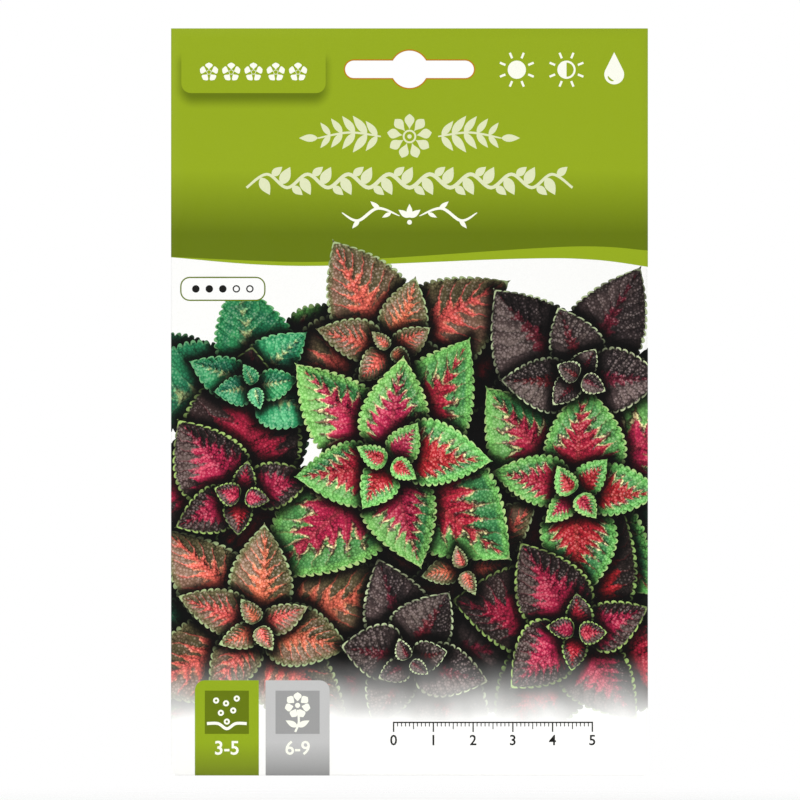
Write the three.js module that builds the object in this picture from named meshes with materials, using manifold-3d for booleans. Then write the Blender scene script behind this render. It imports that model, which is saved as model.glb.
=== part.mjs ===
// A sealed paper seed packet, hanging from the euro slot in its header, with a small inner sachet and a pinch of seed.
// Millimetres, +Z up, printed front towards -Y. The origin is the middle of the euro slot, on the glue line between
// the front and the back sheet.
import * as THREE from "three";
import { mergeVertices } from "three/addons/utils/BufferGeometryUtils.js";
import Module from "manifold-3d";

const wasm = await Module();
wasm.setup();

// Driving dimensions.
const PACKET = { width: 120, height: 188, slotBelowTop: 10.3 };
const PAPER = 0.25;
const GLUE = 0.1;
const HEADER_SEAL = 26; // flat depth below the top edge, where both sheets are glued together
const FLAP = { side: 12, bottom: 14, mitre: 0.6, topCut: 3, topCutHeight: 6 };
const SWELL = { front: 2.2, back: 1.8, power: 2.4, flatRim: 1.5 };
const SLOT = { width: 32.4, armHeight: 4.4, roundDiameter: 9.4 };
const SACHET = { width: 62, height: 72, rim: 5, web: 0.15, seal: 0.05, belly: 0.85, power: 6, aboveBottom: 9.5 };
const SEED = { radius: 0.5, pitch: 0.72, rowPitch: 0.6, jitter: 0.05, aboveRim: 6, rows: [16, 15, 13, 10, 6] };

// How finely curved faces are divided.
const FACE_COLUMNS = 16;
const FACE_ROWS = 12;
const BEND_SEGMENTS = 4;

// Worked-out sizes.
const HALF_WIDTH = PACKET.width / 2;
const TOP = PACKET.slotBelowTop;
const BOTTOM = TOP - PACKET.height;
const SEAL_LINE = TOP - HEADER_SEAL;
const BEND_OUTER = (3 * PAPER + 2 * GLUE) / 2; // three plies and two glue lines lie inside a fold's half round
const BEND_INNER = BEND_OUTER - PAPER;
const BEND_Y = GLUE + PAPER / 2;
const FRONT_INNER = -GLUE / 2;
const BACK_INNER = GLUE / 2;
const FLAP_INNER = BACK_INNER + PAPER + GLUE;
const FOLD_X = HALF_WIDTH - BEND_OUTER;
const FOLD_Z = BOTTOM + BEND_OUTER;
const SACHET_BOTTOM = BOTTOM + SACHET.aboveBottom;

const steps = (from, to, count) =>
  Array.from({ length: count + 1 }, (_, i) => from + ((to - from) * i) / count);

const arch = (t, power) => Math.max(0, 1 - Math.abs(t) ** power);

// How far the pouch stands out of its flat folds, from 0 at the folds and the seal line to 1 in the middle.
function pillow(x, z) {
  const low = BOTTOM + SWELL.flatRim;
  const along = (2 * (z - low)) / (SEAL_LINE - low) - 1;
  const across = x / (FOLD_X - SWELL.flatRim);
  if (Math.abs(along) > 1 || Math.abs(across) > 1) return 0;
  return arch(along, SWELL.power) * arch(across, SWELL.power);
}

// A closed sheet of paper between two matching grids of points, one for each of its faces.
function sheet(outer, inner) {
  const rows = outer.length;
  const columns = outer[0].length;
  const points = [...outer.flat(), ...inner.flat()];
  const at = (side, r, c) => side * rows * columns + r * columns + c;
  const indices = [];
  const quad = (a, b, c, d) => indices.push(a, b, c, a, c, d);
  for (let r = 0; r + 1 < rows; r++) {
    for (let c = 0; c + 1 < columns; c++) {
      quad(at(0, r, c), at(0, r, c + 1), at(0, r + 1, c + 1), at(0, r + 1, c));
      quad(at(1, r, c), at(1, r + 1, c), at(1, r + 1, c + 1), at(1, r, c + 1));
    }
    quad(at(0, r + 1, 0), at(1, r + 1, 0), at(1, r, 0), at(0, r, 0));
    quad(at(0, r, columns - 1), at(1, r, columns - 1), at(1, r + 1, columns - 1), at(0, r + 1, columns - 1));
  }
  for (let c = 0; c + 1 < columns; c++) {
    quad(at(0, 0, c), at(1, 0, c), at(1, 0, c + 1), at(0, 0, c + 1));
    quad(at(0, rows - 1, c + 1), at(1, rows - 1, c + 1), at(1, rows - 1, c), at(0, rows - 1, c));
  }
  return solid(new Float32Array(points.flat()), new Uint32Array(indices));
}

function solid(positions, indices) {
  const build = () => new wasm.Manifold(new wasm.Mesh({ numProp: 3, vertProperties: positions, triVerts: indices }));
  const made = build();
  if (made.volume() > 0) return made;
  for (let i = 0; i < indices.length; i += 3) [indices[i + 1], indices[i + 2]] = [indices[i + 2], indices[i + 1]];
  return build();
}

function solidFromGeometry(geometry) {
  geometry.deleteAttribute("normal");
  geometry.deleteAttribute("uv");
  const merged = mergeVertices(geometry, 1e-4);
  return solid(new Float32Array(merged.attributes.position.array), new Uint32Array(merged.index.array));
}

function mesh(name, made, color, roughness) {
  const { vertProperties, triVerts } = made.getMesh();
  const geometry = new THREE.BufferGeometry()
    .setAttribute("position", new THREE.BufferAttribute(vertProperties, 3))
    .setIndex(new THREE.BufferAttribute(triVerts, 1));
  geometry.computeVertexNormals();
  const node = new THREE.Mesh(geometry, new THREE.MeshStandardMaterial({ color, roughness, metalness: 0 }));
  node.name = name;
  return node;
}

// The half round of a fold, as [outward, y] pairs for its outer and inner face, from the front ply to the flap.
function bend(segments) {
  return steps(-Math.PI / 2, Math.PI / 2, segments).map((a) => ({
    outer: [BEND_OUTER * Math.cos(a), BEND_Y + BEND_OUTER * Math.sin(a)],
    inner: [BEND_INNER * Math.cos(a), BEND_Y + BEND_INNER * Math.sin(a)],
  }));
}

// The euro slot: two round-ended arms and the round hook hole in their middle, right through both sheets.
function slotCutter() {
  const depth = 4;
  const half = SLOT.armHeight / 2;
  const radius = SLOT.roundDiameter / 2;
  const armCentre = SLOT.width / 2 - half;
  const meet = Math.asin(half / radius);
  const outline = new THREE.Shape();
  outline.absarc(armCentre, 0, half, -Math.PI / 2, Math.PI / 2, false);
  outline.absarc(0, 0, radius, meet, Math.PI - meet, false);
  outline.absarc(-armCentre, 0, half, Math.PI / 2, (3 * Math.PI) / 2, false);
  outline.absarc(0, 0, radius, Math.PI + meet, 2 * Math.PI - meet, false);
  outline.closePath();
  const geometry = new THREE.ExtrudeGeometry(outline, { depth, bevelEnabled: false, curveSegments: 12 });
  geometry.rotateX(Math.PI / 2).translate(0, depth / 2, 0);
  return solidFromGeometry(geometry);
}

// Width of a side flap at a height: mitred to the bottom flap, and cut back a little at the top.
function sideFlap(z) {
  const mitred = Math.max(BEND_OUTER, z - BOTTOM - FLAP.mitre);
  const cut = FLAP.topCut * Math.max(0, 1 - (TOP - z) / FLAP.topCutHeight);
  return Math.min(mitred, FLAP.side - cut);
}

function bottomFlap(x) {
  return Math.min(FLAP.bottom, Math.max(BEND_OUTER, HALF_WIDTH - Math.abs(x) - FLAP.mitre));
}

// The printed sheet: its face, and the left and right flaps folded behind, swept from bottom to top.
function faceAndSideFlaps() {
  const heights = [
    FOLD_Z,
    BOTTOM + SWELL.flatRim,
    BOTTOM + FLAP.side + FLAP.mitre,
    ...steps(BOTTOM + 1.5 * FLAP.side, SEAL_LINE, FACE_ROWS),
    TOP - FLAP.topCutHeight,
    TOP,
  ];
  const round = bend(BEND_SEGMENTS);
  const outer = [];
  const inner = [];
  for (const z of heights) {
    const outerRow = [];
    const innerRow = [];
    const put = (outerPoint, innerPoint) => {
      outerRow.push([...outerPoint, z]);
      innerRow.push([...innerPoint, z]);
    };
    const flapColumns = steps(HALF_WIDTH - sideFlap(z), FOLD_X, 3).slice(0, -1);
    const putFlap = (x) => {
      const y = FLAP_INNER + SWELL.back * pillow(x, z);
      put([x, y + PAPER], [x, y]);
    };
    const putBend = (side, { outer: o, inner: i }) =>
      put([side * (FOLD_X + o[0]), o[1]], [side * (FOLD_X + i[0]), i[1]]);
    for (const x of flapColumns) putFlap(-x);
    for (const p of [...round].reverse()) putBend(-1, p);
    for (const x of steps(-FOLD_X, FOLD_X, FACE_COLUMNS).slice(1, -1)) {
      const y = FRONT_INNER - SWELL.front * pillow(x, z);
      put([x, y - PAPER], [x, y]);
    }
    for (const p of round) putBend(1, p);
    for (const x of [...flapColumns].reverse()) putFlap(x);
    outer.push(outerRow);
    inner.push(innerRow);
  }
  return sheet(outer, inner);
}

// The bottom fold and its flap, swept from left to right. It starts on the flat rim of the face, which it shares.
function bottomFold() {
  const reach = FOLD_X - BEND_OUTER;
  const rim = FOLD_Z + BEND_OUTER;
  const mitreEnd = HALF_WIDTH - FLAP.bottom - FLAP.mitre;
  const columns = [-reach, ...steps(-mitreEnd, mitreEnd, FACE_COLUMNS - 4), reach];
  const outer = [];
  const inner = [];
  for (const x of columns) {
    const rowOuter = [[x, FRONT_INNER - PAPER, rim]];
    const rowInner = [[x, FRONT_INNER, rim]];
    for (const { outer: o, inner: i } of bend(BEND_SEGMENTS)) {
      rowOuter.push([x, o[1], FOLD_Z - o[0]]);
      rowInner.push([x, i[1], FOLD_Z - i[0]]);
    }
    for (const z of steps(FOLD_Z, BOTTOM + bottomFlap(x), 3).slice(1)) {
      const y = FLAP_INNER + SWELL.back * pillow(x, z);
      rowOuter.push([x, y + PAPER, z]);
      rowInner.push([x, y, z]);
    }
    outer.push(rowOuter);
    inner.push(rowInner);
  }
  return sheet(outer, inner);
}

function frontSheet(slot) {
  return faceAndSideFlaps().add(bottomFold()).subtract(slot);
}

// The back panel lies between the face and the flaps, clear of the folds.
function backSheet(slot) {
  const edge = FOLD_X - GLUE;
  const heights = [FOLD_Z + GLUE, BOTTOM + SWELL.flatRim, ...steps(BOTTOM + FLAP.side, SEAL_LINE, FACE_ROWS + 1), TOP];
  const columns = steps(-edge, edge, FACE_COLUMNS);
  const grid = (shift) =>
    heights.map((z) => columns.map((x) => [x, BACK_INNER + shift + SWELL.back * pillow(x, z), z]));
  return sheet(grid(PAPER), grid(0)).subtract(slot);
}

// How far a web of the inner sachet stands out at a point, from 0 on its sealed rim to 1 in its belly.
function sachetBelly(x, z) {
  const across = x / (SACHET.width / 2 - SACHET.rim);
  const along = (z - SACHET_BOTTOM - SACHET.height / 2) / (SACHET.height / 2 - SACHET.rim);
  return arch(across, SACHET.power) * arch(along, SACHET.power);
}

function sachetWeb(side) {
  const edges = (from, to) => [from, ...steps(from + SACHET.rim, to - SACHET.rim, 10), to];
  const grid = (shift) =>
    edges(SACHET_BOTTOM, SACHET_BOTTOM + SACHET.height).map((z) =>
      edges(-SACHET.width / 2, SACHET.width / 2).map((x) => {
        const out = SACHET.seal / 2 + SACHET.belly * sachetBelly(x, z) + shift;
        return [x, side * out, z];
      }),
    );
  return sheet(grid(SACHET.web), grid(0));
}

// A repeatable draw between -1 and 1.
function drawer(seed) {
  let state = seed;
  return () => {
    state = (state * 1664525 + 1013904223) % 4294967296;
    return (2 * state) / 4294967296 - 1;
  };
}

// The pinch of seed, settled in rows on the bottom of the sachet's belly. Neighbours touch, so it is one body.
function seedHeap() {
  const draw = drawer(7);
  const floor = SACHET_BOTTOM + SACHET.rim + SEED.aboveRim;
  let heap = null;
  SEED.rows.forEach((count, row) => {
    for (let i = 0; i < count; i++) {
      const grain = new THREE.IcosahedronGeometry(SEED.radius, 0);
      grain.rotateX(draw()).rotateZ(draw());
      grain.translate(
        (i - (count - 1) / 2) * SEED.pitch + SEED.jitter * draw(),
        SEED.jitter * draw(),
        floor + row * SEED.rowPitch + SEED.jitter * draw(),
      );
      const made = solidFromGeometry(grain);
      heap = heap ? heap.add(made) : made;
    }
  });
  return heap;
}

const slot = slotCutter();
const packet = new THREE.Group();
packet.add(
  mesh("front_sheet", frontSheet(slot), 0x96ad26, 0.45),
  mesh("back_sheet", backSheet(slot), 0xf4f3ec, 0.6),
  mesh("sachet_front", sachetWeb(-1), 0xe9e6da, 0.5),
  mesh("sachet_back", sachetWeb(1), 0xe9e6da, 0.5),
  mesh("seeds", seedHeap(), 0x3a2a20, 0.6),
);

export default packet;
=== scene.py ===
"""A sealed paper seed packet that hangs from the euro slot in its header.

The front sheet is made as the real one is: a flat blank is cut and printed, then folded round three edges.
Blank and print are laid out in millimetres, x to the right of the middle and z up from the slot.
"""

import math
import random

import bmesh
import bpy
import numpy as np
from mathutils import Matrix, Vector, noise
from mathutils.geometry import delaunay_2d_cdt
from mathutils.kdtree import KDTree


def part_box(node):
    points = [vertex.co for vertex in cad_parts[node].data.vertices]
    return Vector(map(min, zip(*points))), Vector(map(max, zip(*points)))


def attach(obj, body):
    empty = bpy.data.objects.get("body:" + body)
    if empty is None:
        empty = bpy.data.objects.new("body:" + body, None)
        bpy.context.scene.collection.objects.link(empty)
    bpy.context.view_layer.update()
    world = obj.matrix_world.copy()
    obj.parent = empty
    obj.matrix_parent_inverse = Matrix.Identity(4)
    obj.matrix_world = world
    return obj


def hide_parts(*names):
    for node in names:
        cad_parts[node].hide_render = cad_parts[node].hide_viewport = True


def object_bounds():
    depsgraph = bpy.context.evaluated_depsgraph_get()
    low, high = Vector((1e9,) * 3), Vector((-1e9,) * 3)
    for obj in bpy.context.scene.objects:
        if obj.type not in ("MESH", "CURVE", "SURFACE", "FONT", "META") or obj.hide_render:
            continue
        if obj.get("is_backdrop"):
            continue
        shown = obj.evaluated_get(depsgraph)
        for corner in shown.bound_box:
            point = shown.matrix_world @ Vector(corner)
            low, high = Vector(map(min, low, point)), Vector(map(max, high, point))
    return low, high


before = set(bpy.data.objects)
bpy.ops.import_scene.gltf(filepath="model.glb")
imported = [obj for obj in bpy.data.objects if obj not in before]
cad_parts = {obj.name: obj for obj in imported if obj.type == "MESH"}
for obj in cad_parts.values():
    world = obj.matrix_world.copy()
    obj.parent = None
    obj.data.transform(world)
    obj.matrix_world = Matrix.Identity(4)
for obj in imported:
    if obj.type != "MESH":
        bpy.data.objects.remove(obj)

CAD_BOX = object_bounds()
MM = 0.001


def box_mm(node):
    """A node's lowest and highest corner in millimetres."""
    low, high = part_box(node)
    return [c / MM for c in low], [c / MM for c in high]


# Sizes of the packet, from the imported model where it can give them.
FRONT_LOW, FRONT_HIGH = box_mm("front_sheet")
HALF_WIDTH, TOP, BOTTOM = FRONT_HIGH[0], FRONT_HIGH[2], FRONT_LOW[2]
PAPER = 0.25
GLUE = 0.1
HEADER_SEAL = 26
SIDE_FLAP = 12
BOTTOM_FLAP = 14
FLAP_MITRE = 0.6
FLAP_CUT, FLAP_CUT_HEIGHT = 3, 6
SWELL_POWER = 2.4
FLAT_RIM = 1.5
BUCKLE = 0.22
SLOT_WIDTH, SLOT_ARM, SLOT_ROUND = 32.4, 4.4, 9.4

BEND_RADIUS = (3 * PAPER + 2 * GLUE) / 2
BEND_LENGTH = math.pi * BEND_RADIUS
BEND_STEPS = 8
BEND_Y = GLUE + PAPER / 2
FACE_Y = -GLUE / 2 - PAPER
FOLD_X = HALF_WIDTH - BEND_RADIUS
FOLD_Z = BOTTOM + BEND_RADIUS
SIDE_BENT = FOLD_X + BEND_LENGTH
FOOT_BENT = FOLD_Z - BEND_LENGTH
SEAL_LINE = TOP - HEADER_SEAL
SWELL_FRONT = FACE_Y - FRONT_LOW[1]
SWELL_BACK = box_mm("back_sheet")[1][1] - GLUE / 2 - PAPER

# The print, as depths below the top edge.
HEADER_FADE = (35.6, 51.6)
LABEL_TOP, LABEL_FOOT = 5, 16.28
PICTURE_TOP, PICTURE_FADE, PICTURE_END = 50, 157, 174
FILLER_TOP = 64
TAB_TOP, TAB_FADE = 164, (179.6, 188)
# The print, as distances across it.
LABEL_LEFT, LABEL_RIGHT, LABEL_CORNER = -57.4, -21.1, 2.4
BLEED = 3


def down(depth):
    """The height of a line that lies this far below the packet's top edge."""
    return TOP - depth


# ---- paper shape


def arch(t, power):
    return max(0.0, 1 - abs(t) ** power)


def pillow(x, z):
    """How far the pouch stands out of its flat folds: 0 at the folds and the seal line, 1 in the middle."""
    low = BOTTOM + FLAT_RIM
    along = 2 * (z - low) / (SEAL_LINE - low) - 1
    across = x / (FOLD_X - FLAT_RIM)
    if abs(along) > 1 or abs(across) > 1:
        return 0.0
    return arch(along, SWELL_POWER) * arch(across, SWELL_POWER)


def buckle(x, z):
    """The slight unevenness of a filled paper pouch, inwards only, so that it stays within its crown."""
    near_edge = pillow(x, z) * (1 - pillow(x, z)) * 4
    wave = noise.noise(Vector((x * 0.045, z * 0.03, 3.7)))
    wave += 0.5 * noise.noise(Vector((x * 0.11, z * 0.07, 9.1)))
    return BUCKLE * near_edge * (0.6 + wave)


def side_flap(z):
    """How wide the folded side flap is at a height: cut narrower at its top, and mitred at its foot."""
    mitred = max(BEND_RADIUS, z - BOTTOM - FLAP_MITRE)
    cut = FLAP_CUT * max(0.0, 1 - (TOP - z) / FLAP_CUT_HEIGHT)
    return min(mitred, SIDE_FLAP - cut)


def bend(past):
    """How far out and how far back a point lies that was this far past its fold line on the flat blank."""
    a = min(past / BEND_RADIUS, math.pi)
    return BEND_RADIUS * math.sin(a) - max(0.0, past - BEND_LENGTH), BEND_Y - BEND_RADIUS * math.cos(a)


def fold(s, t):
    """Where a point of the flat printed blank lies, in millimetres, once its flaps are folded behind."""
    x, y, z = s, FACE_Y, t
    if abs(s) > FOLD_X:
        out, y = bend(abs(s) - FOLD_X)
        x = math.copysign(FOLD_X + out, s)
    elif t < FOLD_Z:
        out, y = bend(FOLD_Z - t)
        z = FOLD_Z - out
    swell = pillow(x, z)
    if y > BEND_Y:
        return x, y + SWELL_BACK * swell, z
    return x, y - SWELL_FRONT * swell + buckle(x, z), z


# ---- outlines


def polar(x, z, distance, angle):
    """The point at a distance from another, in a direction in degrees, counter-clockwise from +x."""
    a = math.radians(angle)
    return x + distance * math.cos(a), z + distance * math.sin(a)


def arc(x, z, radius, start, end, count):
    return [polar(x, z, radius, start + (end - start) * i / count) for i in range(count + 1)]


def disc(x, z, radius, count=20):
    return arc(x, z, radius, 0, 360, count)[:-1]


def rounded_box(left, right, low, high, radii=(0, 0, 0, 0)):
    """A box with its own corner radius at the lower left, lower right, upper right and upper left."""
    corners = (
        (left, low, 1, 1, 180),
        (right, low, -1, 1, 270),
        (right, high, -1, -1, 0),
        (left, high, 1, -1, 90),
    )
    points = []
    for (x, z, dx, dz, start), r in zip(corners, radii):
        points += arc(x + dx * r, z + dz * r, r, start, start + 90, 6) if r else [(x, z)]
    return points


def slot_outline(grow=0.0):
    """The hang slot: two arms with round ends, and a rounder middle; grow moves the line outwards."""
    half, radius = SLOT_ARM / 2 + grow, SLOT_ROUND / 2 + grow
    arm = SLOT_WIDTH / 2 - SLOT_ARM / 2
    meet = math.degrees(math.asin(half / radius))
    points = arc(arm, 0, half, -90, 90, 14) + arc(0, 0, radius, meet, 180 - meet, 18)
    return points + arc(-arm, 0, half, 90, 270, 14) + arc(0, 0, radius, 180 + meet, 360 - meet, 18)


def smooth_line(stations, count):
    """A smooth curve of count + 1 points through a few given ones (Catmull-Rom)."""
    p = [Vector(stations[0])] + [Vector(s) for s in stations] + [Vector(stations[-1])]
    points = []
    for i in range(count + 1):
        at = i / count * (len(stations) - 1)
        k = min(int(at), len(stations) - 2)
        f = at - k
        a, b, c, d = p[k : k + 4]
        cubic = (3 * b - a - 3 * c + d) * f**3
        points.append(tuple(0.5 * (2 * b + (c - a) * f + (2 * a - 5 * b + 4 * c - d) * f**2 + cubic)))
    return points


def ribbon(line, width, taper=0.0):
    """A stroke of ink along a line of points; taper thins its ends."""
    left, right = [], []
    last = len(line) - 1
    for i, point in enumerate(line):
        ahead = Vector(line[min(i + 1, last)]) - Vector(line[max(i - 1, 0)])
        across = Vector((-ahead.y, ahead.x)).normalized()
        half = width / 2 * (1 - taper * abs(2 * i / last - 1) ** 2)
        left.append(tuple(Vector(point) + across * half))
        right.append(tuple(Vector(point) - across * half))
    return right + left[::-1]


def petal(x, z, angle, length, width, count=7, widest=0.8):
    """A leaf or petal of flat ink, growing from a point in a direction in degrees.

    Its belly lies further out as widest grows.
    """
    side = []
    for i in range(count + 1):
        side.append((length * i / count, width / 2 * math.sin(math.pi * (i / count) ** widest)))
    outline = side + [(px, -pz) for px, pz in side[-2:0:-1]]
    c, s = math.cos(math.radians(angle)), math.sin(math.radians(angle))
    return [(x + px * c - pz * s, z + px * s + pz * c) for px, pz in outline[::-1]]


# ---- leaves of the printed picture

TOOTH_PITCH = 1.7
TOOTH_STEPS = 5
LIGHT_FROM = 40
# kind: width over length, curl of the midrib, depth of a tooth in mm
LEAF_FORMS = {
    "flame": (0.76, 0.09, 0.95),
    "velvet": (0.84, 0.06, 0.75),
    "bronze": (0.70, 0.11, 0.80),
    "jade": (0.78, 0.08, 1.00),
    "ember": (0.82, 0.06, 0.80),
}


def blade(u):
    """A leaf's half width along its midrib: round at the base, widest at a third, pointed at the tip."""
    return u**0.5 * (1 - u) / 0.385


class Leaf:
    """One printed leaf: where it grows, which way it points, and its outline."""

    def __init__(self, kind, x, z, angle, length, tier, draw):
        form, curl, tooth = LEAF_FORMS[kind]
        self.kind = kind
        self.x, self.z = x, z
        self.angle = math.radians(angle)
        self.length = length
        self.width = length * form * draw.uniform(0.82, 1.08)
        self.curl = curl * draw.choice((-1, 1)) * draw.uniform(0.3, 1.3)
        self.skew = draw.uniform(-0.26, 0.26)
        self.tooth = tooth * (0.3 + 0.7 * length / 30)
        self.teeth = max(7, round(length / TOOTH_PITCH))
        self.tone = draw.random()
        self.tier = tier
        facing = math.sin(self.angle - math.radians(LIGHT_FROM))
        self.lit = min(1.0, max(0.0, 0.5 + 0.28 * facing + 1.1 * self.skew))

    def place(self, along, across):
        """The point that lies this far along the curled midrib and across it."""
        bent = across + self.curl * self.length * (along / self.length) ** 2
        c, s = math.cos(self.angle), math.sin(self.angle)
        return self.x + along * c - bent * s, self.z + along * s + bent * c

    def outline(self):
        """The toothed edge of the blade, with teeth that shrink towards its base and tip."""
        steps = self.teeth * TOOTH_STEPS
        left, right = [], []
        for i in range(1, steps):
            u = i / steps
            bulge = abs(math.sin(math.pi * self.teeth * u)) ** 0.6 - 0.6
            depth = self.tooth * min(1, 6 * u, 4 * (1 - u)) * bulge
            half = self.width / 2 * blade(u)
            left.append(self.place(u * self.length, max(0.12, half * (1 + self.skew) + depth)))
            right.append(self.place(u * self.length, -max(0.12, half * (1 - self.skew) + depth)))
        return [self.place(0, 0)] + right + [self.place(self.length * 1.02, 0)] + left[::-1]

    def pattern_position(self, points):
        """Along-the-midrib and across-the-blade places of many points, 0 to 1 and -1 to 1 on the blade."""
        dx, dz = points[:, 0] - self.x, points[:, 1] - self.z
        c, s = math.cos(self.angle), math.sin(self.angle)
        along = dx * c + dz * s
        u = along / self.length
        across = dz * c - dx * s - self.curl * self.length * u**2
        half = self.width / 2 * blade(np.clip(u, 0.001, 0.999)) * (1 + self.skew * np.sign(across))
        return u, across / np.maximum(half, 0.1 * self.width)


# Each shoot is seen from above: kind, x, depth below the top edge, reach of its largest leaves,
# turn of its first pair, how round it looks (1 from straight above), and its place in the stack.
SHOOTS = [
    ("jade", -39, 90, 33, 15, 0.80, 0),
    ("bronze", -5, 81, 37, 32, 0.80, 1),
    ("velvet", 43, 88, 34, 55, 0.85, 2),
    ("bronze", 14, 136, 37, 5, 0.85, 3),
    ("ember", -42, 118, 37, 70, 0.90, 4),
    ("flame", 42, 117, 40, 35, 0.90, 5),
    ("bronze", -38, 150, 40, 28, 0.82, 6),
    ("velvet", 0, 159, 35, 24, 0.80, 7),
    ("ember", 42, 152, 38, 74, 0.88, 8),
    ("flame", -5, 109, 42, 50, 0.92, 9),
]
# Each pair's size, turn in degrees and brightness, lowest first. A pair grows across the one below it.
PAIRS = [
    (1.00, 0, 0.80),
    (0.90, 88, 0.89),
    (0.68, 42, 0.98),
    (0.54, 134, 1.05),
    (0.30, 6, 1.10),
    (0.20, 97, 1.13),
]
FILLERS = 44


def hidden_leaves(draw):
    """Dim single leaves that fill the gaps under the shoots, none of them above the bouquet."""
    leaves = []
    for k in range(FILLERS):
        _, x, depth, reach, _, roundness, _ = SHOOTS[k % len(SHOOTS)]
        angle = draw.uniform(0, 360)
        a = math.radians(angle)
        out = reach * draw.uniform(0.20, 0.40)
        at = x + out * math.cos(a), down(depth) + out * math.sin(a) * roundness
        kind = draw.choice(("velvet", "ember", "bronze", "jade", "flame"))
        leaf = Leaf(kind, *at, angle + draw.uniform(-40, 40), reach * 0.8, draw.uniform(0.34, 0.72), draw)
        if leaf.place(leaf.length, 0)[1] < down(FILLER_TOP):
            leaves.append(leaf)
    return leaves


def shoot(kind, x, depth, reach, turn, roundness, draw):
    """The leaves of one shoot, lowest first: ever smaller pairs, each grown across the last."""
    leaves = []
    for size, shift, tone in PAIRS:
        for half_turn in (0, 180):
            a = math.radians(turn + shift + half_turn + draw.uniform(-14, 14))
            ahead, up = math.cos(a), roundness * math.sin(a)
            length = reach * size * math.hypot(ahead, up) * draw.uniform(0.84, 1.06)
            root = 0.08 * reach * size
            at = x + root * ahead, down(depth) + root * up
            leaves.append(Leaf(kind, *at, math.degrees(math.atan2(up, ahead)), length, tone, draw))
    return leaves


def bouquet():
    """Every leaf of the picture, lowest first.

    The outer leaves of one shoot lie under the inner ones of its neighbours.
    """
    fillers = hidden_leaves(random.Random(11))
    draw = random.Random(4)
    grown = []
    for *form, place in SHOOTS:
        leaves = shoot(*form, draw)
        grown += [(0.6 * place + i // 2, leaf) for i, leaf in enumerate(leaves)]
    return fillers + [leaf for _, leaf in sorted(grown, key=lambda entry: entry[0])]


# ---- layout of the print

# Each tab: its ink, the ink of its square, its left and right side, and the radii of its corners.
TABS = (
    ("tab_green", "olive_ink", -54.0, -37.9, (0, 0, 0, 2.5)),
    ("tab_grey", "grey_ink", -36.2, -20.1, (0, 0, 2.5, 0)),
)
TAB_SQUARE_TOP, TAB_SQUARE_FOOT = 166.6, 177.5
SOWING_TAB, FLOWER_TAB = -45.95, -28.15
RULER_LEFT, RULER_LINE, RULER_LENGTH = -4.0, 174.6, 50
LINE_HALF = 0.17


def printed(ink, outlines):
    """Outlines to print in one ink."""
    return [(ink, outline) for outline in outlines]


def sprig(start, end, leaf, droop, pairs):
    """Outlines of a slim stem with pairs of leaves along it, which grow smaller, and one at its tip."""
    (x0, z0), (x1, z1) = start, end
    line = smooth_line([start, ((x0 + x1) / 2, (z0 + z1) / 2 + droop), end], 48)
    heading = 0 if x1 > x0 else 180
    yield ribbon(line, 0.55, 0.4)
    yield petal(*line[-1], heading, leaf * 0.8, leaf * 0.32)
    for i in range(pairs):
        at = line[4 + int(42 * i / pairs)]
        size = leaf * (0.80 if i == 0 else 1.08 - 0.10 * i)
        for turn in (52, -52):
            yield petal(*at, heading + turn, size, size * 0.36)


def rosette(x, z, radius, petals, fullness, heart=0.25):
    """Outlines of an open flower's petals and of its middle."""
    for k in range(petals):
        a = 90 + 360 / petals * k
        yield petal(*polar(x, z, heart * radius, a), a, radius * (1 - heart), radius * fullness, 10, 1.5)
    yield disc(x, z, radius * heart)


def numerals(text, x, z, height):
    """Triangles of plain numerals of this height, centred on a point."""
    curve = bpy.data.curves.new("numerals", "FONT")
    curve.body = text
    curve.align_x = "CENTER"
    curve.align_y = "CENTER"
    curve.size = height * 1.35
    curve.offset = height * 0.02
    curve.resolution_u = 3
    holder = bpy.data.objects.new("numerals", curve)
    mesh = holder.to_mesh()
    mesh.calc_loop_triangles()
    points = [(x + v.co.x, z + v.co.y) for v in mesh.vertices]
    triangles = [[points[i] for i in t.vertices] for t in mesh.loop_triangles]
    holder.to_mesh_clear()
    bpy.data.objects.remove(holder)
    bpy.data.curves.remove(curve)
    return triangles


def header_shapes():
    """The header's green field with its two waved lower edges, the label, and the line round the slot."""
    past = SIDE_BENT + SIDE_FLAP
    for ink, wave in (
        ("stripe_green", ((-60, 57.6), (-27, 59.8), (27, 58), (46, 58.2), (60, 60))),
        ("header_green", ((-60, 57.5), (-27, 58.8), (-2, 57.6), (41, 54.9), (60, 55.9))),
    ):
        edge = smooth_line([(x, down(depth)) for x, depth in wave], 40)
        yield ink, [(-past, edge[0][1])] + edge + [(past, edge[-1][1]), (past, TOP), (-past, TOP)]
    radii = (LABEL_CORNER, LABEL_CORNER, 0, 0)
    yield "label_green", rounded_box(LABEL_LEFT, LABEL_RIGHT, down(LABEL_FOOT), down(LABEL_TOP), radii)
    yield "die_line", slot_outline(0.34)


def ornament_shapes():
    """Plain ornament where a packet carries its title: flower and sprigs, a vine, and a small flourish."""
    row = down(27.2)
    yield from printed("cream_ink", rosette(0, row, 5.7, 9, 0.44, 0.3))
    yield "header_green", disc(0, row, 1.25)
    yield "cream_ink", disc(0, row, 0.55)
    for side in (-1, 1):
        yield from printed("cream_ink", sprig((side * 7.2, row), (side * 23, row - 0.4), 6.0, 1.2, 5))
    yield from printed("cream_ink", vine(down(38.4)))
    yield from printed("white_ink", flourish(down(47.2)))


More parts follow.
